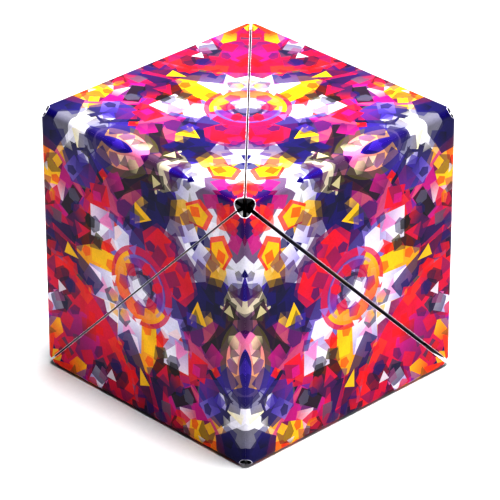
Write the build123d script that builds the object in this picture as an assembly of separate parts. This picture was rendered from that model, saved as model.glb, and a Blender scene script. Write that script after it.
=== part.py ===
from build123d import *
import math
import os
from collections import namedtuple

# A cube that turns inside out: twelve equal hollow wedges in a closed ring.
#
# Each wedge is half of a cube face, cut along the face's diagonal, and runs in to the cube's
# centre. Neighbours in the ring share one edge of the cube, and the printed sheet bends round
# that edge as their hinge. The face diagonals are open seams.
#
# The cube stands on the origin, +Z up. All sizes are in millimetres.

# The cube
cube_edge = 57.15
hub_relief = 3.0
rim_relief = 2.0
hinge_radius = 1.25

# The sheets and the moulded shells
print_thickness = 0.2
lining_thickness = 0.2
wall = 1.2
edge_round = 0.8
tip_leg = 4.5
cavity_tip_leg = 1.0

# Clearances between wedges in the closed cube
fold_gap = 0.06
face_gap = 0.3
seam_gap = 0.3
wide_seam_gap = 0.95
open_pivot_gap = 1.0

# The cover's rib, which locates it in the mouth of the shell
rib_depth = 1.5
rib_thickness = 1.0
rib_clearance = 0.1

# The magnets and their pockets
magnet_diameter = 8.0
magnet_thickness = 2.0
magnet_clearance = 0.1
pocket_wall = 1.0

# The linings of the inner faces, and how far they stand back from each face's edges
lining_margin = 1.6
lining_corner = 1.0
lining_tip_leg = 4.0

ROOT2 = math.sqrt(2)
ON_BASE = (Align.CENTER, Align.CENTER, Align.MIN)

# How far each side plane of a wedge stands in from the plane that it would share with its
# neighbour: the two sides under the cube's edges, and the side under the face's diagonal.
Insets = namedtuple("Insets", "x_leg y_leg seam")


# The ring of wedges

# The six corners of the cube's zigzag rim, in order. The two other corners are the hubs, where
# six wedges meet.
RIM = [(1, -1, 1), (1, -1, 0), (-1, -1, 0), (-1, 1, 0), (-1, 1, 1), (1, 1, 1)]
NEAR_HUB = (-1, -1, 1)
FAR_HUB = (1, 1, 0)

# The two wedges that meet at the pivot with no hinge, and the two beyond them, whose seam is
# the wide one.
OPEN_PAIR = (3, 4)
WIDE_PAIR = (2, 5)


def corner(signs):
    """A corner of the cube, from its sides in X and Y and its level in Z."""
    x, y, level = signs
    return Vector(x * cube_edge / 2, y * cube_edge / 2, level * cube_edge)


def hub_beside(signs):
    """The hub that shares an edge of the cube with this rim corner."""
    steps = sum(a != b for a, b in zip(signs, NEAR_HUB))
    return NEAR_HUB if steps == 1 else FAR_HUB


def ring():
    """(number, square corner, hub, far rim corner) of each wedge, in order round the ring."""
    wedges = []
    for i, square in enumerate(RIM):
        for far in (RIM[i - 1], RIM[(i + 1) % len(RIM)]):
            wedges.append((len(wedges) + 1, corner(square), corner(hub_beside(square)), corner(far)))
    return wedges


def place(square, hub, far):
    """The wedge's own plane, and whether its X leg is the one that runs to the hub.

    Its origin is the square corner, its legs run along X and Y, and Z points out of the cube."""
    to_hub = (hub - square).normalized()
    to_far = (far - square).normalized()
    out = to_hub.cross(to_far)
    hub_on_x = out.dot(square - Vector(0, 0, cube_edge / 2)) > 0
    if hub_on_x:
        return Plane(origin=square, x_dir=to_hub, z_dir=out), True
    return Plane(origin=square, x_dir=to_far, z_dir=-out), False


def insets(number, hub_on_x, hinge_gap):
    """The wedge's side clearances, where this is the gap between two pieces at a hinge."""
    hub_leg = open_pivot_gap / 2 if number in OPEN_PAIR else hinge_gap / 2
    rim_leg = hinge_gap / 2
    seam = wide_seam_gap / 2 if number in WIDE_PAIR else seam_gap / 2
    legs = (hub_leg, rim_leg) if hub_on_x else (rim_leg, hub_leg)
    return Insets(*legs, seam)


# Shapes in the wedge's own plane


def deeper(sides, amount):
    return Insets(*(side + amount for side in sides))


def section(height, sides):
    """The wedge's triangle at a height, which is 0 on the cube's face and negative inside it."""
    left = ROOT2 * sides.y_leg - height
    front = ROOT2 * sides.x_leg - height
    reach = cube_edge - ROOT2 * sides.seam
    return [
        Vector(left, front, height),
        Vector(reach - front, front, height),
        Vector(left, reach - left, height),
    ]


def tip_height(sides, leg):
    """The height at which the legs of the triangle have shrunk to this length."""
    return (leg - cube_edge + ROOT2 * sum(sides)) / 2


def frustum(top, bottom, sides):
    """The part of the wedge between two heights."""
    ends = [Face(Wire.make_polygon(section(height, sides))) for height in (top, bottom)]
    return loft(ends, ruled=True)


def rounded_cube(depth):
    """The closed cube, its surface this far below its faces, with its edges rounded."""
    side = cube_edge - 2 * depth
    cube = Pos(cube_edge / 2, cube_edge / 2, -cube_edge / 2) * Box(side, side, side)
    return fillet(cube.edges(), hinge_radius - depth)


def corner_balls(hub_on_x):
    """What the three corners of the wedge are relieved by. The one at the hub is larger."""
    hub_end, far_end = (cube_edge, 0, 0), (0, cube_edge, 0)
    if not hub_on_x:
        hub_end, far_end = far_end, hub_end
    balls = [Pos(*end) * Sphere(rim_relief) for end in ((0, 0, 0), far_end)]
    return balls + [Pos(*hub_end) * Sphere(hub_relief)]


def slanted_edges(solid):
    """The edges that run from the cube's corners towards its centre."""
    return solid.edges().filter_by(lambda edge: abs((edge % 0.5).Z) > 0.1)


def side_planes(sides):
    """A plane on each side of the wedge, at the middle of that side, with Z pointing inwards."""
    top = section(0, sides)
    bottom = section(tip_height(sides, 0), sides)
    planes = []
    for i, inwards in ((0, Vector(0, 1, 1)), (1, Vector(-1, -1, 0)), (2, Vector(1, 0, 1))):
        ends = (top[i], top[(i + 1) % 3])
        middle = (ends[0] + ends[1] + bottom[0]) / 3
        planes.append(Plane(origin=middle, x_dir=ends[1] - ends[0], z_dir=inwards))
    return planes


def pocket_radius():
    """The outside of a magnet's pocket."""
    return magnet_diameter / 2 + magnet_clearance + pocket_wall


# The pieces of one wedge


def outer_print(fold_sides, hub_on_x):
    """The printed sheet on the cube's face. It bends round both legs to the hinge lines."""
    sheet = rounded_cube(0) - rounded_cube(print_thickness)
    return (sheet & frustum(hinge_radius, -hinge_radius, fold_sides)) - corner_balls(hub_on_x)


def cover(sides, hub_on_x):
    """The moulded plate under the print, with a rib that locates it in the shell's mouth."""
    plastic = deeper(sides, lining_thickness)
    hollow = deeper(plastic, wall)
    underside = -print_thickness - wall
    plate = rounded_cube(print_thickness) & frustum(hinge_radius, underside, plastic)
    outside = deeper(hollow, rib_clearance)
    inside = deeper(outside, rib_thickness)
    rib = frustum(underside, underside - rib_depth, outside)
    rib -= frustum(underside, underside - rib_depth, inside)
    notch_radius = pocket_radius() + rib_clearance
    notch = Cylinder(notch_radius, magnet_thickness + rib_clearance, align=ON_BASE)
    for plane in side_planes(hollow):
        rib -= plane * notch
    return (plate - corner_balls(hub_on_x)) + rib


def inner_shell(sides, hub_on_x):
    """The hollow three-sided shell that runs in to the cube's centre, with three magnet pockets."""
    plastic = deeper(sides, lining_thickness)
    hollow = deeper(plastic, wall)
    mouth = -print_thickness - wall
    body = frustum(mouth, tip_height(plastic, tip_leg), plastic)
    body = fillet(slanted_edges(body), edge_round)
    body = (body & rounded_cube(print_thickness)) - corner_balls(hub_on_x)
    body -= frustum(mouth, tip_height(hollow, cavity_tip_leg), hollow)
    pocket = Cylinder(pocket_radius(), magnet_thickness + wall / 2, align=ON_BASE)
    bore = Cylinder(magnet_diameter / 2 + magnet_clearance, magnet_thickness, align=ON_BASE)
    for plane in side_planes(hollow):
        body += plane * Pos(0, 0, -wall / 2) * pocket
        body -= plane * bore
    return body


def magnets(sides):
    """Three disc magnets, each against the inside of one side wall."""
    hollow = deeper(sides, lining_thickness + wall)
    disc = Cylinder(magnet_diameter / 2, magnet_thickness, align=ON_BASE)
    return [plane * disc for plane in side_planes(hollow)]


def lining(sides):
    """The printed sheets on the three inner faces, cut back from the edges between them."""
    sheets = []
    for i, inwards in ((0, Vector(0, 1, 1)), (1, Vector(-1, -1, 0)), (2, Vector(1, 0, 1))):
        margins = [lining_margin, lining_margin, lining_margin]
        margins[i] = 0
        trimmed = Insets(sides.x_leg + margins[0], sides.y_leg + margins[2], sides.seam + margins[1])
        top = section(-lining_margin, trimmed)
        bottom = section(tip_height(deeper(sides, lining_margin), lining_tip_leg), trimmed)
        j = (i + 1) % 3
        outline = Face(Wire.make_polygon([top[i], top[j], bottom[j], bottom[i]]))
        outline = fillet(outline.vertices(), lining_corner)
        sheets.append(extrude(outline, amount=lining_thickness, dir=inwards.normalized()))
    return sheets


def write(name, plane, solids):
    """One STEP file for a piece, or for the alike pieces that share a node."""
    export_step(Compound([plane * solid for solid in solids]), f"parts/{name}.step")


def solids_of(shape):
    return list(shape.solids())


def main():
    os.makedirs("parts", exist_ok=True)
    made = {}
    for number, square, hub, far in ring():
        plane, hub_on_x = place(square, hub, far)
        sides = insets(number, hub_on_x, face_gap)
        fold_sides = insets(number, hub_on_x, fold_gap)
        kind = sides, hub_on_x
        if kind not in made:
            made[kind] = {
                "outer_print": solids_of(outer_print(fold_sides, hub_on_x)),
                "cover": solids_of(cover(sides, hub_on_x)),
                "inner_shell": solids_of(inner_shell(sides, hub_on_x)),
                "magnets": magnets(sides),
                "lining": lining(sides),
            }
        for piece, solids in made[kind].items():
            write(f"{piece}_{number:02d}", plane, solids)


main()
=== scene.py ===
import math
import random

import bpy
import numpy as np
from mathutils import Matrix, Vector
from mathutils.geometry import delaunay_2d_cdt


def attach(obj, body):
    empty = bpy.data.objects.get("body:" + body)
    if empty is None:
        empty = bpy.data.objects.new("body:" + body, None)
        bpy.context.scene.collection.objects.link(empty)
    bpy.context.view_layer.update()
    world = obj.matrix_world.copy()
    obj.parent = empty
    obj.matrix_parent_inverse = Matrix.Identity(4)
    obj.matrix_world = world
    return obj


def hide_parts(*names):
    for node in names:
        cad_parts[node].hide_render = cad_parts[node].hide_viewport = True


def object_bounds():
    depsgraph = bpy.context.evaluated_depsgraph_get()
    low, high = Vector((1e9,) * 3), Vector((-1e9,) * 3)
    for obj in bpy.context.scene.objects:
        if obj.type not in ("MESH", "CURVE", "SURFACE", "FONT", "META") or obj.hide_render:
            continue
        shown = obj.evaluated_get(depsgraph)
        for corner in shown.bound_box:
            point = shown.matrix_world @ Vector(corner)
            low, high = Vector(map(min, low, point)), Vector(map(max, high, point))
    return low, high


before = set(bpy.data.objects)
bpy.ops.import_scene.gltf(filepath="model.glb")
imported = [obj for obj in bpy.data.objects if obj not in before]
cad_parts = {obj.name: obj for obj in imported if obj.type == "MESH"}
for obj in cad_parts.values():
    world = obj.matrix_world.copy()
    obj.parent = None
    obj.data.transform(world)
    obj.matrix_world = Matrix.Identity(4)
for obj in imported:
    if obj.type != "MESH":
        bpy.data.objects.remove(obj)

# A shape-shifting puzzle cube: twelve hollow wedges in a closed ring, hinged by their printed
# sheets along the cube's edges. Each wedge lies under half a cube face, a right triangle whose
# square corner is on the cube's zigzag rim and whose hub corner is one of the two hubs, where
# six wedges meet. The face's diagonal is an open seam.
#
# The artwork is one tile, drawn once on that triangle and mirrored from wedge to wedge. On the
# tile, u runs from 0 at the hub to 1 at the square corner, and v from 0 on the edge between
# them to 1 at the far rim corner.

# Sizes, in metres, as in the CAD model

MM = 0.001
cad_low, cad_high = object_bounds()
EDGE = cad_high.x - cad_low.x
HINGE_RADIUS = 1.25 * MM
SHEET = 0.2 * MM
HUB_RELIEF = 3.0 * MM
RIM_RELIEF = 2.0 * MM
SEAM_INSET = 0.15 * MM
OPEN_PIVOT_INSET = 0.5 * MM
OPEN_PAIR = (3, 4)
WIDE_PAIR = (2, 5)

# The sheet's own measures. At the wide seam it stands further out than the CAD model's, which is
# 0.475 mm in from the diagonal.

WIDE_SEAM_INSET = 0.36 * MM
CUT_MARGIN = 0.06 * MM  # the unprinted border along the die-cut corners
CHORD_SLACK = 0.002 * MM  # how far the straight parts of a cut run inside its true curve
BEND_STEPS = 6  # how many strips the bend is cut into
ARC_POINTS = 14  # the points along the flat part of each half of a corner's cut
HALF_BEND = math.pi / 4  # how far a sheet turns, from its face to the hinge line
FACE_SHORT = 0.002  # how far short of the hinge line the sheet's bend stops, in radians
UNDERSIDE_SHORT = 0.03  # and its underside, which leaves room for the next sheet as they fold

ROOT2 = math.sqrt(2)


# Colour

INK_DENSITY = 1.25  # above 1, the inks are deeper than the colours given


def linear(*rgb):
    """A colour given in 0 to 255 as the eye sees it, as linear light."""
    light = np.array([((c / 255 + 0.055) / 1.055) ** 2.4 for c in rgb])
    return light**INK_DENSITY


INK = {
    "indigo": linear(42, 26, 120),
    "night": linear(24, 18, 74),
    "violet": linear(88, 62, 172),
    "lavender": linear(150, 136, 206),
    "plum": linear(104, 24, 112),
    "magenta": linear(206, 18, 148),
    "crimson": linear(214, 12, 88),
    "red": linear(228, 16, 22),
    "orange": linear(240, 92, 14),
    "gold": linear(244, 200, 22),
    "cream": linear(246, 236, 190),
    "white": linear(244, 242, 250),
    "pink": linear(242, 140, 196),
    # the sheet's cut edges and underside: the card is white, and this grey darkens it as painted shade of
    # the seams between wedges
    "card_and_painted_seam_shade": linear(140, 138, 146),
    "charcoal": linear(34, 33, 46),
    "black": linear(14, 13, 20),
    "olive": linear(112, 104, 52),
    "grey": linear(112, 110, 130),
    "steel": linear(70, 74, 104),
}


# Shapes on the tile. Each one has the outlines that cut the sheet, a test for what lies inside
# it, a colour at each point and an opacity.


class Shape:
    def __init__(self, outlines, inside, colour, opacity, fade=None):
        self.outlines = outlines
        self.inside = inside
        self.colour = INK[colour]
        self.opacity = opacity
        self.fade = fade

    def over(self, points, below):
        """The colours below, with this shape laid over them."""
        strength = np.full(len(points), self.opacity)
        tint = np.repeat(self.colour[None], len(points), 0)
        if self.fade:
            colour, (x0, y0), (x1, y1) = self.fade
            along = np.array([x1 - x0, y1 - y0])
            share = np.clip((points - (x0, y0)) @ along / (along @ along), 0, 1)[:, None]
            tint = tint * (1 - share) + INK[colour] * share
        return below * (1 - strength)[:, None] + tint * strength[:, None]


def polygon(sides, u, v, wide, tall, turn, colour, opacity=0.85, fade=None):
    """A regular polygon, stretched to these half sizes and then turned, in degrees."""
    c, s = math.cos(math.radians(turn)), math.sin(math.radians(turn))
    corners = []
    for i in range(sides):
        angle = 2 * math.pi * (i + 0.5) / sides
        x, y = wide * math.cos(angle), tall * math.sin(angle)
        corners.append((u + c * x - s * y, v + s * x + c * y))
    ends = np.array(corners)

    def inside(points):
        hit = np.ones(len(points), bool)
        for a, b in zip(ends, np.roll(ends, -1, 0)):
            side = (b[0] - a[0]) * (points[:, 1] - a[1]) - (b[1] - a[1]) * (points[:, 0] - a[0])
            hit &= side > 0
        return hit

    blend = None
    if fade:
        blend = (fade, (u - c * wide, v - s * wide), (u + c * wide, v + s * wide))
    return Shape([corners + corners[:1]], inside, colour, opacity, blend)


def arc(u, v, radius, start=0, stop=360, step=7):
    """Points along an arc, its angles in degrees."""
    count = max(3, round(abs(stop - start) / step))
    angles = np.radians(np.linspace(start, stop, count + 1))
    return [(u + radius * math.cos(a), v + radius * math.sin(a)) for a in angles]


def band(u, v, inner, outer, start, stop, colour, opacity=0.85, fade=None):
    """Part of a ring between two radii and two angles in degrees."""
    loop = arc(u, v, outer, start, stop)
    if inner > 0:
        loop += arc(u, v, inner, stop, start)
    elif stop - start < 360:
        loop.append((u, v))
    loop.append(loop[0])

    def inside(points):
        away = points - (u, v)
        distance = np.hypot(*away.T)
        angle = (np.degrees(np.arctan2(away[:, 1], away[:, 0])) - start) % 360
        return (distance > inner) & (distance < outer) & (angle < stop - start)

    blend = None
    if fade:
        first, last = arc(u, v, outer, start, stop)[0], arc(u, v, outer, start, stop)[-1]
        blend = (fade, first, last)
    return Shape([loop], inside, colour, opacity, blend)


def petal(u, v, length, width, turn, colour, opacity=0.85):
    """A lens with its two points on a line through (u, v): what two equal discs share."""
    radius = (length**2 + width**2) / (2 * width)
    c, s = math.cos(math.radians(turn)), math.sin(math.radians(turn))
    lift = radius - width
    centres = [np.array([u - s * k, v + c * k]) for k in (lift, -lift)]
    half = math.degrees(math.asin(min(1, length / radius)))
    outlines = []
    for centre, facing in zip(centres, (turn - 90, turn + 90)):
        outlines.append(arc(*centre, radius, facing - half, facing + half, step=half / 4))

    def inside(points):
        return np.all([np.hypot(*(points - centre).T) < radius for centre in centres], 0)

    return Shape(outlines, inside, colour, opacity)


# The artwork


# What colours each part of the tile draws on: (u, v, inks).
ZONES = [
    (0.05, 0.02, "red crimson orange red magenta"),
    (0.18, 0.04, "crimson plum magenta red indigo"),
    (0.20, 0.13, "gold orange red gold white"),
    (0.30, 0.24, "white red indigo gold"),
    (0.32, 0.05, "violet white plum indigo olive"),
    (0.38, 0.34, "red crimson indigo plum"),
    (0.42, 0.16, "indigo night plum indigo charcoal"),
    (0.48, 0.05, "gold pink charcoal violet cream"),
    (0.54, 0.24, "indigo plum violet gold indigo"),
    (0.54, 0.50, "indigo red violet gold crimson"),
    (0.62, 0.10, "indigo magenta plum violet charcoal"),
    (0.66, 0.34, "white lavender violet indigo"),
    (0.68, 0.56, "white pink white gold"),
    (0.70, 0.20, "red plum crimson magenta"),
    (0.80, 0.06, "white violet olive indigo"),
    (0.82, 0.15, "violet night indigo steel"),
    (0.84, 0.32, "black indigo charcoal grey night"),
    (0.88, 0.44, "indigo crimson grey night"),
    (0.93, 0.06, "night indigo black indigo"),
    (0.95, 0.23, "gold red crimson indigo"),
    (0.72, 0.44, "red orange gold olive"),
    (0.76, 0.70, "plum indigo magenta red"),
    (0.82, 0.62, "red crimson orange indigo"),
    (0.93, 0.56, "red indigo plum red"),
    (0.94, 0.74, "violet white magenta crimson night"),
    (0.88, 0.80, "magenta plum crimson steel"),
    (0.98, 0.92, "orange red gold orange"),
]


# What the layer of deep facets draws on, wherever they lie, and the u short of which there are none.
BRIGHT_HUB = 0.24
DEEP_INKS = ["indigo", "night", "indigo", "plum", "charcoal", "crimson", "violet", "night", "red"]


def zone_ink(dice, u, v):
    """An ink for this place, from the nearest zone."""
    nearest = min(ZONES, key=lambda zone: (zone[0] - u) ** 2 + (zone[1] - v) ** 2)
    return dice.choice(nearest[2].split())


def scatter(seed, across, size, opacity, inks=None):
    """Facets on a jittered grid over the tile, each in one of these inks or in an ink of its zone."""
    dice = random.Random(seed)
    facets = []
    step = 1 / across
    for row in range(across):
        for column in range(row, across + 1):
            u = (column + dice.uniform(0.1, 0.9)) * step
            v = (row + dice.uniform(0.1, 0.9)) * step
            ink, second = (dice.choice(inks) if inks else zone_ink(dice, u, v) for _ in range(2))
            fade = second if dice.random() < 0.4 else None
            wide, tall = (size * dice.uniform(0.6, 1.15) for _ in range(2))
            sides = dice.choice((3, 4, 4, 4, 5, 5, 6))
            solid = opacity * dice.uniform(0.75, 1.0)
            facets.append(polygon(sides, u, v, wide, tall, dice.uniform(0, 180), ink, solid, fade))
    return facets


def motifs():
    """The composed shapes, from the back to the front."""
    shapes = []
    # the hub: a fan of petals, with gold and white kites beyond it
    shapes += [
        petal(0.05, 0.04, 0.085, 0.035, 42, "crimson", 0.9),
        petal(0.10, 0.02, 0.055, 0.022, 8, "indigo", 0.85),
        petal(0.10, 0.075, 0.060, 0.022, 60, "orange", 0.75),
        polygon(4, 0.155, 0.045, 0.050, 0.035, 20, "magenta", 0.8),
        polygon(5, 0.215, 0.115, 0.070, 0.058, 15, "orange", 0.9, "red"),
        polygon(5, 0.225, 0.120, 0.055, 0.044, 15, "gold", 0.95),
        polygon(4, 0.265, 0.205, 0.060, 0.042, 28, "white", 0.95, "lavender"),
        polygon(4, 0.300, 0.060, 0.055, 0.032, -12, "white", 0.8, "lavender"),
        polygon(3, 0.345, 0.030, 0.050, 0.040, 30, "plum", 0.75),
    ]
    # the large red gem across the diagonal
    shapes += [
        polygon(4, 0.455, 0.215, 0.085, 0.060, 40, "indigo", 0.85, "night"),
        polygon(4, 0.335, 0.205, 0.060, 0.050, 20, "plum", 0.75, "indigo"),
        polygon(6, 0.400, 0.310, 0.096, 0.088, 12, "plum", 0.8, "crimson"),
        polygon(5, 0.400, 0.318, 0.084, 0.078, 30, "red", 0.94, "crimson"),
        polygon(4, 0.350, 0.300, 0.040, 0.034, 25, "magenta", 0.55, "plum"),
        polygon(3, 0.500, 0.225, 0.055, 0.050, 0, "gold", 0.9),
        polygon(3, 0.515, 0.235, 0.038, 0.034, 0, "olive", 0.75),
    ]
    # the long curved sweep from the hub's edge towards the far rim
    shapes += [
        band(0.25, 0.42, 0.36, 0.50, -68, -20, "plum", 0.82, "magenta"),
        band(0.25, 0.42, 0.41, 0.46, -60, -30, "indigo", 0.7),
        band(0.30, 0.52, 0.44, 0.49, -80, -45, "black", 0.8),
        band(0.62, -0.10, 0.13, 0.19, 60, 140, "gold", 0.8, "pink"),
        band(0.62, -0.10, 0.19, 0.22, 60, 135, "olive", 0.7),
        polygon(4, 0.700, 0.225, 0.062, 0.055, 12, "red", 0.92, "crimson"),
        polygon(4, 0.625, 0.150, 0.055, 0.045, 30, "magenta", 0.75, "plum"),
    ]
    # tiles between the ring and the rim
    shapes += [
        polygon(4, 0.690, 0.335, 0.084, 0.086, 0, "lavender", 0.8, "white"),
        polygon(3, 0.705, 0.355, 0.060, 0.046, 24, "white", 0.9),
        polygon(3, 0.670, 0.315, 0.048, 0.040, 200, "pink", 0.7),
        polygon(4, 0.690, 0.462, 0.082, 0.045, 0, "gold", 0.95),
        polygon(4, 0.655, 0.400, 0.040, 0.030, 35, "red", 0.85),
        polygon(4, 0.715, 0.405, 0.036, 0.028, 70, "olive", 0.85),
        polygon(4, 0.700, 0.565, 0.084, 0.084, 3, "white", 0.95, "lavender"),
        polygon(5, 0.745, 0.560, 0.052, 0.048, 40, "white", 0.85, "pink"),
        polygon(3, 0.690, 0.575, 0.042, 0.034, 100, "pink", 0.55),
        polygon(4, 0.730, 0.690, 0.090, 0.090, 0, "plum", 0.92, "magenta"),
        polygon(3, 0.745, 0.655, 0.028, 0.026, 60, "magenta", 0.8),
    ]
    # the ring at the middle of the face
    shapes += [
        band(0.5, 0.5, 0, 0.150, 0, 360, "violet", 0.45),
        band(0.5, 0.5, 0.118, 0.150, -135, 20, "crimson", 0.75, "red"),
        band(0.5, 0.5, 0.075, 0.132, -60, 45, "gold", 0.9, "orange"),
        band(0.5, 0.5, 0.060, 0.110, -140, -55, "red", 0.8, "violet"),
        band(0.5, 0.5, 0.105, 0.116, -150, -40, "lavender", 0.45),
        band(0.5, 0.5, 0, 0.070, -150, 60, "lavender", 0.75, "white"),
        band(0.5, 0.5, 0, 0.046, -70, 45, "white", 0.9),
        band(0.5, 0.5, 0.046, 0.060, -135, -30, "charcoal", 0.7),
        polygon(3, 0.640, 0.520, 0.022, 0.018, 50, "white", 0.8),
    ]
    # the red sweep round the far corner
    shapes += [
        band(1.06, 1.04, 0.38, 0.51, 180, 270, "red", 0.92, "crimson"),
        band(1.06, 1.04, 0.46, 0.51, 232, 268, "orange", 0.5, "red"),
        band(1.06, 1.04, 0.51, 0.525, 240, 270, "olive", 0.7, "lavender"),
        band(1.06, 1.04, 0.525, 0.60, 232, 268, "indigo", 0.85, "night"),
        polygon(4, 0.870, 0.600, 0.052, 0.040, 25, "crimson", 0.75, "plum"),
        polygon(3, 0.960, 0.590, 0.046, 0.040, 70, "indigo", 0.6, "plum"),
        polygon(3, 0.860, 0.500, 0.045, 0.030, -20, "gold", 0.9),
    ]
    # inside the sweep: a bright corner of small facets
    shapes += [
        polygon(5, 0.855, 0.775, 0.090, 0.070, 35, "magenta", 0.85, "plum"),
        polygon(4, 0.850, 0.700, 0.050, 0.040, 12, "crimson", 0.9),
        polygon(4, 0.890, 0.715, 0.042, 0.030, 55, "steel", 0.85),
        polygon(4, 0.955, 0.735, 0.060, 0.045, 28, "white", 0.9, "lavender"),
        polygon(4, 0.925, 0.700, 0.036, 0.030, 20, "pink", 0.6),
        polygon(5, 0.950, 0.835, 0.052, 0.040, 60, "gold", 0.9, "orange"),
        polygon(4, 1.000, 0.915, 0.080, 0.050, 80, "orange", 0.92, "red"),
        polygon(4, 0.910, 0.885, 0.035, 0.026, 40, "steel", 0.8),
        polygon(3, 0.985, 0.860, 0.040, 0.030, 10, "olive", 0.6),
    ]
    # the dark quarter towards the square corner
    shapes += [
        polygon(3, 0.880, 0.425, 0.105, 0.040, 172, "indigo", 0.92, "night"),
        polygon(3, 0.800, 0.395, 0.050, 0.040, 15, "crimson", 0.9),
        polygon(4, 0.950, 0.385, 0.070, 0.032, -4, "grey", 0.8, "steel"),
        polygon(4, 0.845, 0.300, 0.085, 0.040, 58, "black", 0.88, "charcoal"),
        polygon(5, 0.955, 0.230, 0.066, 0.052, 25, "gold", 0.95),
        polygon(3, 0.930, 0.300, 0.045, 0.032, 200, "crimson", 0.9),
        polygon(4, 0.990, 0.190, 0.032, 0.026, 15, "red", 0.8),
        polygon(5, 0.960, 0.090, 0.078, 0.062, 10, "indigo", 0.88, "night"),
        polygon(4, 0.830, 0.170, 0.060, 0.042, 50, "violet", 0.82, "lavender"),
        polygon(4, 0.780, 0.110, 0.036, 0.030, 15, "white", 0.75, "lavender"),
        polygon(4, 0.800, 0.045, 0.032, 0.050, 20, "white", 0.9, "cream"),
        polygon(3, 0.765, 0.085, 0.030, 0.026, 75, "olive", 0.8),
        polygon(4, 0.690, 0.085, 0.062, 0.050, 40, "indigo", 0.8, "violet"),
        polygon(4, 0.560, 0.045, 0.062, 0.026, 14, "pink", 0.8, "cream"),
        polygon(4, 0.460, 0.120, 0.048, 0.042, 5, "charcoal", 0.85, "indigo"),
        polygon(4, 0.390, 0.120, 0.036, 0.030, 0, "indigo", 0.9),
        polygon(3, 0.430, 0.060, 0.040, 0.034, 90, "charcoal", 0.8, "olive"),
    ]
    return shapes


def artwork():
    """Every shape on the tile, from the back to the front."""
    shapes = scatter(seed=3, across=7, size=0.17, opacity=1.0)
    shapes += scatter(seed=11, across=9, size=0.085, opacity=0.85)
    shapes += motifs()
    deep = scatter(seed=41, across=8, size=0.046, opacity=0.72, inks=DEEP_INKS)
    shapes += [facet for facet in deep if facet.outlines[0][0][0] > BRIGHT_HUB]
    shapes += scatter(seed=23, across=10, size=0.030, opacity=0.8)
    return shapes


# The ring of wedges

# The six corners of the cube's zigzag rim, in order. The two other corners are the hubs.
RIM = [(1, -1, 1), (1, -1, 0), (-1, -1, 0), (-1, 1, 0), (-1, 1, 1), (1, 1, 1)]
NEAR_HUB = (-1, -1, 1)
FAR_HUB = (1, 1, 0)


def corner(signs):
    """A corner of the cube, from its sides in X and Y and its level in Z."""
    x, y, level = signs
    return np.array([x * EDGE / 2, y * EDGE / 2, level * EDGE])


def hub_beside(signs):
    """The hub that shares an edge of the cube with this rim corner."""
    steps = sum(a != b for a, b in zip(signs, NEAR_HUB))
    return NEAR_HUB if steps == 1 else FAR_HUB


def ring():
    """The square corner, hub and far rim corner of each wedge, by its number."""
    wedges = {}
    for i, square in enumerate(RIM):
        for far in (RIM[i - 1], RIM[(i + 1) % len(RIM)]):
            wedges[len(wedges) + 1] = corner(square), corner(hub_beside(square)), corner(far)
    return wedges


WEDGES = ring()
CUBE_CENTRE = np.array([0, 0, EDGE / 2])


# The sheet, flat on the tile and bent round the legs

# Where the sheets at the open pivot end, by v.
OPEN_EDGE = HINGE_RADIUS * math.asin(OPEN_PIVOT_INSET / HINGE_RADIUS) / HALF_BEND / EDGE


def bend_angle(distance, depth=0.0):
    """How far the sheet has turned round a leg, from a point's distance on the flat sheet."""
    half_bend = HALF_BEND - (UNDERSIDE_SHORT if depth else FACE_SHORT)
    return np.clip(1 - distance / HINGE_RADIUS, 0, 1) * half_bend


def rolled(distance, depth=0.0):
    """How far in from a leg and how far down a point lies, from its distance on the flat sheet."""
    turn = bend_angle(distance, depth)
    radius = HINGE_RADIUS - depth
    bent = distance < HINGE_RADIUS
    across = np.where(bent, HINGE_RADIUS - radius * np.sin(turn), distance)
    sink = np.where(bent, HINGE_RADIUS - radius * np.cos(turn), depth)
    return across, sink


def wedge_axes(number):
    """The directions along the wedge's legs from its square corner, and out of its face."""
    square, hub, far = WEDGES[number]
    to_hub, to_far = (hub - square) / EDGE, (far - square) / EDGE
    out = np.cross(to_hub, to_far)
    return to_hub, to_far, out * np.sign(out @ (square - CUBE_CENTRE))


def placed(number, tile, depth=0.0):
    """Where points of the tile lie on a wedge."""
    to_hub, to_far, out = wedge_axes(number)
    in_from_spoke, under_spoke = rolled(tile[:, 1] * EDGE, depth)
    in_from_rim, under_rim = rolled((1 - tile[:, 0]) * EDGE, depth)
    sink = under_spoke + under_rim - depth
    square = WEDGES[number][0]
    return square + np.outer(in_from_rim, to_hub) + np.outer(in_from_spoke, to_far) - np.outer(sink, out)


def facing(number, tile):
    """Which way the bent sheet faces at points of the tile."""
    to_hub, to_far, out = wedge_axes(number)
    over_spoke = bend_angle(tile[:, 1] * EDGE)
    over_rim = bend_angle((1 - tile[:, 0]) * EDGE)
    flat = np.cos(over_spoke + over_rim)
    return np.outer(flat, out) - np.outer(np.sin(over_spoke), to_far) - np.outer(np.sin(over_rim), to_hub)


def faces_out(number):
    """Whether a turn to the left on the tile is a turn to the left on the wedge, seen from outside."""
    square, hub, far = WEDGES[number]
    return np.cross(far - square, hub - square) @ (square - CUBE_CENTRE) > 0


def from_cuts(tile):
    """How far points of the bent sheet are from the nearest of its cut-away corners."""
    u, v = tile.T * EDGE
    in_from_spoke, under_spoke = rolled(v)
    in_from_rim, under_rim = rolled(EDGE - u)
    hub = np.sqrt(u**2 + in_from_spoke**2 + under_spoke**2)
    far = np.sqrt((EDGE - v) ** 2 + in_from_rim**2 + under_rim**2)
    square = np.sqrt(in_from_rim**2 + in_from_spoke**2 + (under_spoke + under_rim) ** 2)
    return np.minimum(hub - HUB_RELIEF, np.minimum(far, square) - RIM_RELIEF)


def seam_inset(number):
    return WIDE_SEAM_INSET if number in WIDE_PAIR else SEAM_INSET


def from_seam(number, tile):
    """How far points of the tile are from the edge of this wedge's sheet at the seam."""
    return (tile[:, 0] - tile[:, 1]) * EDGE / ROOT2 - seam_inset(number)


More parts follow.
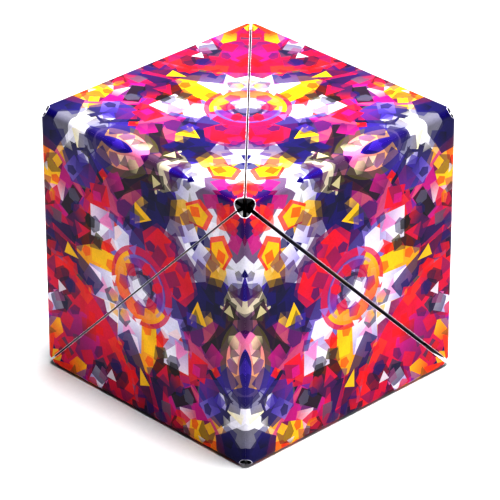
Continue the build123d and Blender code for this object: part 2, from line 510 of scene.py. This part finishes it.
def relief(radius):
    """Half of the cut-away round a corner, on the tile: over the bend, then out to the diagonal."""
    bend = np.linspace(0, HINGE_RADIUS, BEND_STEPS + 1)
    across, sink = rolled(bend)
    along = np.sqrt(radius**2 - across**2 - sink**2)
    turn = np.linspace(math.asin(HINGE_RADIUS / radius), HALF_BEND, ARC_POINTS)[1:]
    x = np.concatenate([along, radius * np.cos(turn)]) / EDGE
    y = np.concatenate([bend, radius * np.sin(turn)]) / EDGE
    return x, y


def sheet_lines():
    """The lines that cut the tile where the sheet bends or ends."""
    lines = []
    for step in np.linspace(0, HINGE_RADIUS / EDGE, BEND_STEPS + 1):
        lines.append([(0, step), (1, step)])
        lines.append([(1 - step, 0), (1 - step, 1)])
    lines.append([(0, OPEN_EDGE), (1, OPEN_EDGE)])
    for inset in (0, SEAM_INSET, WIDE_SEAM_INSET):
        offset = ROOT2 * inset / EDGE
        lines.append([(offset, 0), (1, 1 - offset)])
    for margin in (0, CUT_MARGIN):
        lines.append(zip(*relief(HUB_RELIEF + margin)))
        x, y = relief(RIM_RELIEF + margin)
        lines += [zip(1 - y, 1 - x), zip(1 - x, y), zip(1 - y, x)]
    return [list(line) for line in lines]


def across_rim(tile):
    """Points as the wedge over the rim sees them: its tile is this one turned half round."""
    return (2, 1) - tile


def outside_tile(a, b):
    """Whether a segment is all on the far side of one of the tile's three sides."""
    return (
        (a[0] > 1 and b[0] > 1) or (a[1] < 0 and b[1] < 0) or (a[1] > a[0] and b[1] > b[0])
    )


SAME_POINT = 1e-6  # points on the tile nearer than this are one point
LEAST_AREA = 1e-12  # triangles smaller than this are slivers, and dropped


def cut_tile(shapes):
    """The tile's points and triangles, cut along every outline."""
    lines = sheet_lines()
    for shape, turned in shapes:
        for outline in shape.outlines:
            line = np.array(outline)
            lines.append(across_rim(line) if turned else line)
    points, edges = [], []
    for line in lines:
        for a, b in zip(line[:-1], line[1:]):
            if not outside_tile(a, b):
                edges.append((len(points), len(points) + 1))
                points += [Vector(a), Vector(b)]
    found = delaunay_2d_cdt(points, edges, [], 0, SAME_POINT, False)
    tile = np.array([p[:] for p in found[0]])
    triangles = np.array([face[:] for face in found[2]])
    a, b, c = tile[triangles].transpose(1, 0, 2)
    area = (b - a)[:, 0] * (c - a)[:, 1] - (b - a)[:, 1] * (c - a)[:, 0]
    triangles = triangles[np.abs(area) > LEAST_AREA]
    area = area[np.abs(area) > LEAST_AREA]
    triangles[area < 0] = triangles[area < 0][:, ::-1]
    centres = tile[triangles].mean(1)
    kept = (centres[:, 0] < 1) & (centres[:, 1] > 0) & (centres[:, 0] > centres[:, 1])
    return tile, triangles[kept]


MID_RIM = (0.2, 0.8)


def crosses_rim(shape):
    """Whether a shape runs over the rim near its middle, so that the next wedge carries it on."""
    u, v = np.array([point for outline in shape.outlines for point in outline]).T
    return u.max() > 1 and MID_RIM[0] < v.mean() < MID_RIM[1]


def paint(shapes, tile, triangles):
    """The colour at each corner of each triangle."""
    corners = tile[triangles]
    centres = corners.mean(1)
    colours = np.tile(INK["indigo"], (len(triangles), 3, 1))
    for shape, turned in shapes:
        seen = across_rim(centres) if turned else centres
        hit = shape.inside(seen)
        points = corners[hit].reshape(-1, 2)
        points = across_rim(points) if turned else points
        below = colours[hit].reshape(-1, 3)
        colours[hit] = shape.over(points, below).reshape(-1, 3, 3)
    colours[from_cuts(centres) < CUT_MARGIN] = INK["white"]
    return colours


class Artwork:
    """The tile cut along its artwork, with the colours of its triangles."""

    def __init__(self):
        shapes = []
        for shape in artwork():
            shapes.append((shape, False))
            if crosses_rim(shape):
                shapes.append((shape, True))
        self.tile, self.triangles = cut_tile(shapes)
        self.colours = paint(shapes, self.tile, self.triangles)
        centres = self.tile[self.triangles].mean(1)
        self.centres = centres
        self.uncut = from_cuts(centres) > -CHORD_SLACK

    def on_sheet(self, number):
        """Which triangles are on this wedge's sheet."""
        kept = self.uncut & (from_seam(number, self.centres) > 0)
        if number in OPEN_PAIR:
            kept &= self.centres[:, 1] > OPEN_EDGE
        return kept


def sheet_mesh(name, art, number):
    """A wedge's printed sheet, closed: its face with the artwork, its underside and its cut edges."""
    mask = art.on_sheet(number)
    triangles, colours = art.triangles[mask], art.colours[mask]
    if not faces_out(number):
        triangles, colours = triangles[:, ::-1], colours[:, ::-1]
    used, triangles = np.unique(triangles, return_inverse=True)
    triangles = triangles.reshape(-1, 3)
    count, spots = len(used), art.tile[used]
    points = np.concatenate([placed(number, spots), placed(number, spots, SHEET)])

    starts, ends = triangles.ravel(), np.roll(triangles, -1, 1).ravel()
    rim = ~np.isin(starts * count + ends, ends * count + starts)
    i, j = starts[rim], ends[rim]
    walls = np.column_stack([j, i, i + count, j + count])
    unders = triangles[:, ::-1] + count
    mesh = bpy.data.meshes.new(name)
    mesh.from_pydata(points.tolist(), [], [*triangles.tolist(), *unders.tolist(), *walls.tolist()])

    out = facing(number, spots)
    across = points[walls[:, 1]] - points[walls[:, 0]]
    wall_out = np.cross(across, points[walls[:, 3]] - points[walls[:, 0]])
    wall_out /= np.linalg.norm(wall_out, axis=1, keepdims=True)
    normals = [out[triangles.ravel()], -out[unders.ravel() - count], np.repeat(wall_out, 4, 0)]
    mesh.normals_split_custom_set(np.concatenate(normals).tolist())

    inked = np.column_stack([colours.reshape(-1, 3), np.ones(triangles.size)])
    # The undersides and cut edges take the grey card ink: white card darkened as painted shade of the
    # seams.
    card_and_painted_seam_shade = np.tile([*INK["card_and_painted_seam_shade"], 1], (triangles.size + walls.size, 1))
    layer = mesh.color_attributes.new("artwork", "FLOAT_COLOR", "CORNER")
    layer.data.foreach_set("color", np.concatenate([inked, card_and_painted_seam_shade]).astype(np.float32).ravel())
    from_edge = np.clip(np.minimum(from_seam(number, spots), from_cuts(spots)) / MM, 0, 1)
    layer = mesh.attributes.new("from_edge", "FLOAT", "POINT")
    layer.data.foreach_set("value", np.concatenate([from_edge, 0 * from_edge]).astype(np.float32))
    return mesh


def printed_sheets(art, film):
    """The sheets, each in one piece from the seam to the hinge lines, where it meets its neighbours."""
    for number in WEDGES:
        name = f"print_{number:02d}"
        mesh = sheet_mesh(name, art, number)
        mesh.materials.append(film)
        piece = bpy.data.objects.new(name, mesh)
        bpy.context.scene.collection.objects.link(piece)
        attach(piece, f"wedge_{number:02d}")
        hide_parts(f"outer_print_{number:02d}")


# Materials


def material(name):
    """A new material, with its node tree and its main shader."""
    made = bpy.data.materials.new(name)
    made.use_nodes = True
    return made, made.node_tree, made.node_tree.nodes["Principled BSDF"]


def node(tree, kind, settings=None, **inputs):
    """A node with these settings, and inputs that are values or sockets to link from."""
    made = tree.nodes.new(kind)
    for key, value in (settings or {}).items():
        setattr(made, key, value)
    for key, value in inputs.items():
        socket = made.inputs[int(key[1:])] if key[0] == "_" else made.inputs[key.replace("_", " ")]
        if isinstance(value, bpy.types.NodeSocket):
            tree.links.new(value, socket)
        else:
            socket.default_value = value
    return made


def noise(tree, spot, scale, detail=3, roughness=0.5):
    made = node(tree, "ShaderNodeTexNoise", Vector=spot, Scale=scale, Detail=detail, Roughness=roughness)
    return made.outputs["Fac"]


def remap(tree, value, low, high, to_low, to_high):
    return node(
        tree, "ShaderNodeMapRange", _0=value, _1=low, _2=high, _3=to_low, _4=to_high
    ).outputs[0]


def mix(tree, share, below, above, blend="MIX"):
    made = tree.nodes.new("ShaderNodeMix")
    made.data_type = "RGBA"
    made.blend_type = blend
    for index, value in ((0, share), (6, below), (7, above)):
        if isinstance(value, bpy.types.NodeSocket):
            tree.links.new(value, made.inputs[index])
        else:
            made.inputs[index].default_value = value
    return made.outputs[2]


def bump(tree, shader, layers):
    """Layers of (height, strength, distance), each on the one before."""
    normal = None
    for height, strength, distance in layers:
        made = node(tree, "ShaderNodeBump", Height=height, Strength=strength, Distance=distance)
        if normal:
            tree.links.new(normal, made.inputs["Normal"])
        normal = made.outputs["Normal"]
    tree.links.new(normal, shader.inputs["Normal"])


def printed_film(name, colour_of):
    """Ink on paperboard under a satin film, worn pale along its cut edges."""
    made, tree, shader = material(name)
    spot = node(tree, "ShaderNodeTexCoord").outputs["Object"]
    colour = colour_of(tree, spot)
    cloudy = remap(tree, noise(tree, spot, 140, 4), 0.3, 0.7, 0.86, 1.12)
    grain = remap(tree, noise(tree, spot, 2600, 2), 0.25, 0.75, 0.93, 1.07)
    tone = node(tree, "ShaderNodeMath", {"operation": "MULTIPLY"}, _0=cloudy, _1=grain).outputs[0]
    shade = node(tree, "ShaderNodeCombineColor", _0=tone, _1=tone, _2=tone).outputs[0]
    colour = mix(tree, 1.0, colour, shade, "MULTIPLY")
    edge = node(tree, "ShaderNodeAttribute", {"attribute_name": "from_edge"}).outputs["Fac"]
    ragged = remap(tree, noise(tree, spot, 1500, 3), 0.35, 0.7, 0.04, 0.16)
    worn = node(tree, "ShaderNodeMath", {"operation": "LESS_THAN"}, _0=edge, _1=ragged).outputs[0]
    worn = node(tree, "ShaderNodeMath", {"operation": "MULTIPLY"}, _0=worn, _1=0.55).outputs[0]
    colour = mix(tree, worn, colour, (*INK["white"], 1))
    tree.links.new(colour, shader.inputs["Base Color"])
    smears = noise(tree, spot, 90, 5, 0.6)
    tree.links.new(remap(tree, smears, 0.3, 0.7, 0.30, 0.44), shader.inputs["Roughness"])
    shader.inputs["Specular IOR Level"].default_value = 0.12
    shader.inputs["Coat Weight"].default_value = 0.03
    shader.inputs["Coat Roughness"].default_value = 0.15
    bump(tree, shader, [
        (noise(tree, spot, 120, 2), 0.12, 0.0006),
        (noise(tree, spot, 1800, 3), 0.10, 0.00003),
    ])
    return made


def tile_ink(tree, spot):
    """The artwork that the mesh carries."""
    return node(tree, "ShaderNodeAttribute", {"attribute_name": "artwork"}).outputs["Color"]


def facet_ink(tree, spot):
    """Facets of the artwork's inks, for the sheets on the inner faces."""
    cells = node(
        tree, "ShaderNodeTexVoronoi", {"feature": "F1", "distance": "CHEBYCHEV"}, Vector=spot, Scale=190
    )
    pick = node(tree, "ShaderNodeSeparateColor", _0=cells.outputs["Color"]).outputs[0]
    ramp = tree.nodes.new("ShaderNodeValToRGB")
    ramp.color_ramp.interpolation = "CONSTANT"
    inks = ["indigo", "plum", "red", "violet", "gold", "night", "magenta", "lavender", "orange", "charcoal"]
    stops = ramp.color_ramp.elements
    while len(stops) < len(inks):
        stops.new(0.5)
    for i, ink in enumerate(inks):
        stops[i].position = i / len(inks)
        stops[i].color = (*INK[ink], 1)
    tree.links.new(pick, ramp.inputs[0])
    centre = remap(tree, cells.outputs["Distance"], 0, 0.6, 1.15, 0.75)
    shade = node(tree, "ShaderNodeCombineColor", _0=centre, _1=centre, _2=centre).outputs[0]
    return mix(tree, 1.0, ramp.outputs[0], shade, "MULTIPLY")


def moulded_plastic():
    """Black plastic, with the fine texture of the mould and faint rubbing."""
    made, tree, shader = material("black_plastic")
    spot = node(tree, "ShaderNodeTexCoord").outputs["Object"]
    dusty = remap(tree, noise(tree, spot, 260, 4, 0.6), 0.45, 0.75, 0.0, 0.5)
    colour = mix(tree, dusty, (0.009, 0.009, 0.011, 1), (0.022, 0.021, 0.024, 1))
    tree.links.new(colour, shader.inputs["Base Color"])
    tree.links.new(remap(tree, noise(tree, spot, 300, 4), 0.3, 0.7, 0.36, 0.52), shader.inputs["Roughness"])
    bump(tree, shader, [
        (noise(tree, spot, 2200, 2), 0.20, 0.00004),
        (noise(tree, spot, 160, 2), 0.05, 0.0004),
    ])
    return made


def nickel():
    """Nickel plating, faintly brushed."""
    made, tree, shader = material("nickel_plate")
    spot = node(tree, "ShaderNodeTexCoord").outputs["Object"]
    stretched = node(tree, "ShaderNodeMapping", Vector=spot, Scale=(1, 1, 0.06)).outputs[0]
    brushed = noise(tree, stretched, 5000, 3)
    tint = remap(tree, brushed, 0.3, 0.7, 0.0, 1.0)
    colour = mix(tree, tint, (0.53, 0.50, 0.46, 1), (0.68, 0.66, 0.62, 1))
    tree.links.new(colour, shader.inputs["Base Color"])
    shader.inputs["Metallic"].default_value = 1.0
    tree.links.new(remap(tree, brushed, 0.3, 0.7, 0.18, 0.32), shader.inputs["Roughness"])
    bump(tree, shader, [(brushed, 0.08, 0.00002)])
    return made


def floor_paper():
    made, tree, shader = material("floor_paper")
    spot = node(tree, "ShaderNodeTexCoord").outputs["Object"]
    fibre = remap(tree, noise(tree, spot, 900, 4), 0.3, 0.7, 0.0, 1.0)
    colour = mix(tree, fibre, (0.70, 0.70, 0.71, 1), (0.72, 0.72, 0.725, 1))
    tree.links.new(colour, shader.inputs["Base Color"])
    shader.inputs["Roughness"].default_value = 0.85
    return made


def finish_cad_nodes():
    """The moulded shells, covers, magnets and linings keep their CAD shapes, in these finishes."""
    plastic = moulded_plastic()
    finishes = {
        "cover": plastic,
        "inner_shell": plastic,
        "magnets": nickel(),
        "lining": printed_film("printed_lining", facet_ink),
    }
    for name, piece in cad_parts.items():
        kind = name[:-3]
        if kind in finishes:
            piece.data.materials.clear()
            piece.data.materials.append(finishes[kind])


# The studio


def aimed(name, data, place, aim, roll=0.0):
    """An object that looks from its place at its aim."""
    made = bpy.data.objects.new(name, data)
    turn = (Vector(aim) - Vector(place)).to_track_quat("-Z", "Y").to_matrix().to_4x4()
    turn @= Matrix.Rotation(roll, 4, "Z")
    turn.translation = place
    made.matrix_world = turn
    bpy.context.scene.collection.objects.link(made)
    return made


def soft_light(name, place, size, power):
    data = bpy.data.lights.new(name, "AREA")
    data.shape = "DISK"
    data.size = size
    data.energy = power
    return aimed(name, data, place, CUBE_CENTRE)


FLOOR_HALF = 3.0


def studio():
    """A pale floor, four soft lights and a faint even sky."""
    floor_mesh = bpy.data.meshes.new("floor")
    corners = [(x * FLOOR_HALF, y * FLOOR_HALF, 0) for x, y in ((-1, -1), (1, -1), (1, 1), (-1, 1))]
    floor_mesh.from_pydata(corners, [], [(0, 1, 2, 3)])
    floor_mesh.materials.append(floor_paper())
    floor = bpy.data.objects.new("floor", floor_mesh)
    bpy.context.scene.collection.objects.link(floor)
    soft_light("overhead", (0.06, -0.06, 0.80), 0.40, 12.0)
    soft_light("behind", (0.62, 0.66, 0.65), 0.6, 1.0)
    soft_light("left_front", (-0.85, -0.10, 0.35), 0.5, 0.1)
    soft_light("right_front", (0.20, -0.85, 0.38), 0.5, 2.1)
    world = bpy.data.worlds.new("studio")
    world.use_nodes = True
    background = world.node_tree.nodes["Background"]
    background.inputs["Color"].default_value = (0.95, 0.96, 1.0, 1)
    background.inputs["Strength"].default_value = 0.07
    bpy.context.scene.world = world
    bpy.context.scene.view_settings.view_transform = "Standard"
    bpy.context.scene.view_settings.look = "High Contrast"


VIEW_ANGLES = (-44.02, 28.33, -0.17)  # azimuth, elevation and roll, in degrees
VIEW_DISTANCE = 718.7 * MM
AIM_RIGHT = 0.3 * MM  # how far the camera aims to the right of the cube's centre
AIM_DOWN = 2.4 * MM
LENS, SENSOR = 263, 36


def camera():
    """A long lens, a little above the cube and facing the edge below its near hub."""
    azimuth, elevation, roll = (math.radians(angle) for angle in VIEW_ANGLES)
    back = Vector((
        math.sin(azimuth) * math.cos(elevation),
        -math.cos(azimuth) * math.cos(elevation),
        math.sin(elevation),
    ))
    right = back.cross(Vector((0, 0, -1))).normalized()
    up = back.cross(right)
    centre = Vector(CUBE_CENTRE)
    aim = centre + right * AIM_RIGHT - up * AIM_DOWN
    data = bpy.data.cameras.new("camera")
    data.sensor_width = SENSOR
    data.lens = LENS
    data.clip_start, data.clip_end = 0.05, 20
    bpy.context.scene.camera = aimed("camera", data, centre + back * VIEW_DISTANCE, aim, roll)


def main():
    art = Artwork()
    film = printed_film("printed_film", tile_ink)
    printed_sheets(art, film)
    finish_cad_nodes()
    studio()
    camera()


main()
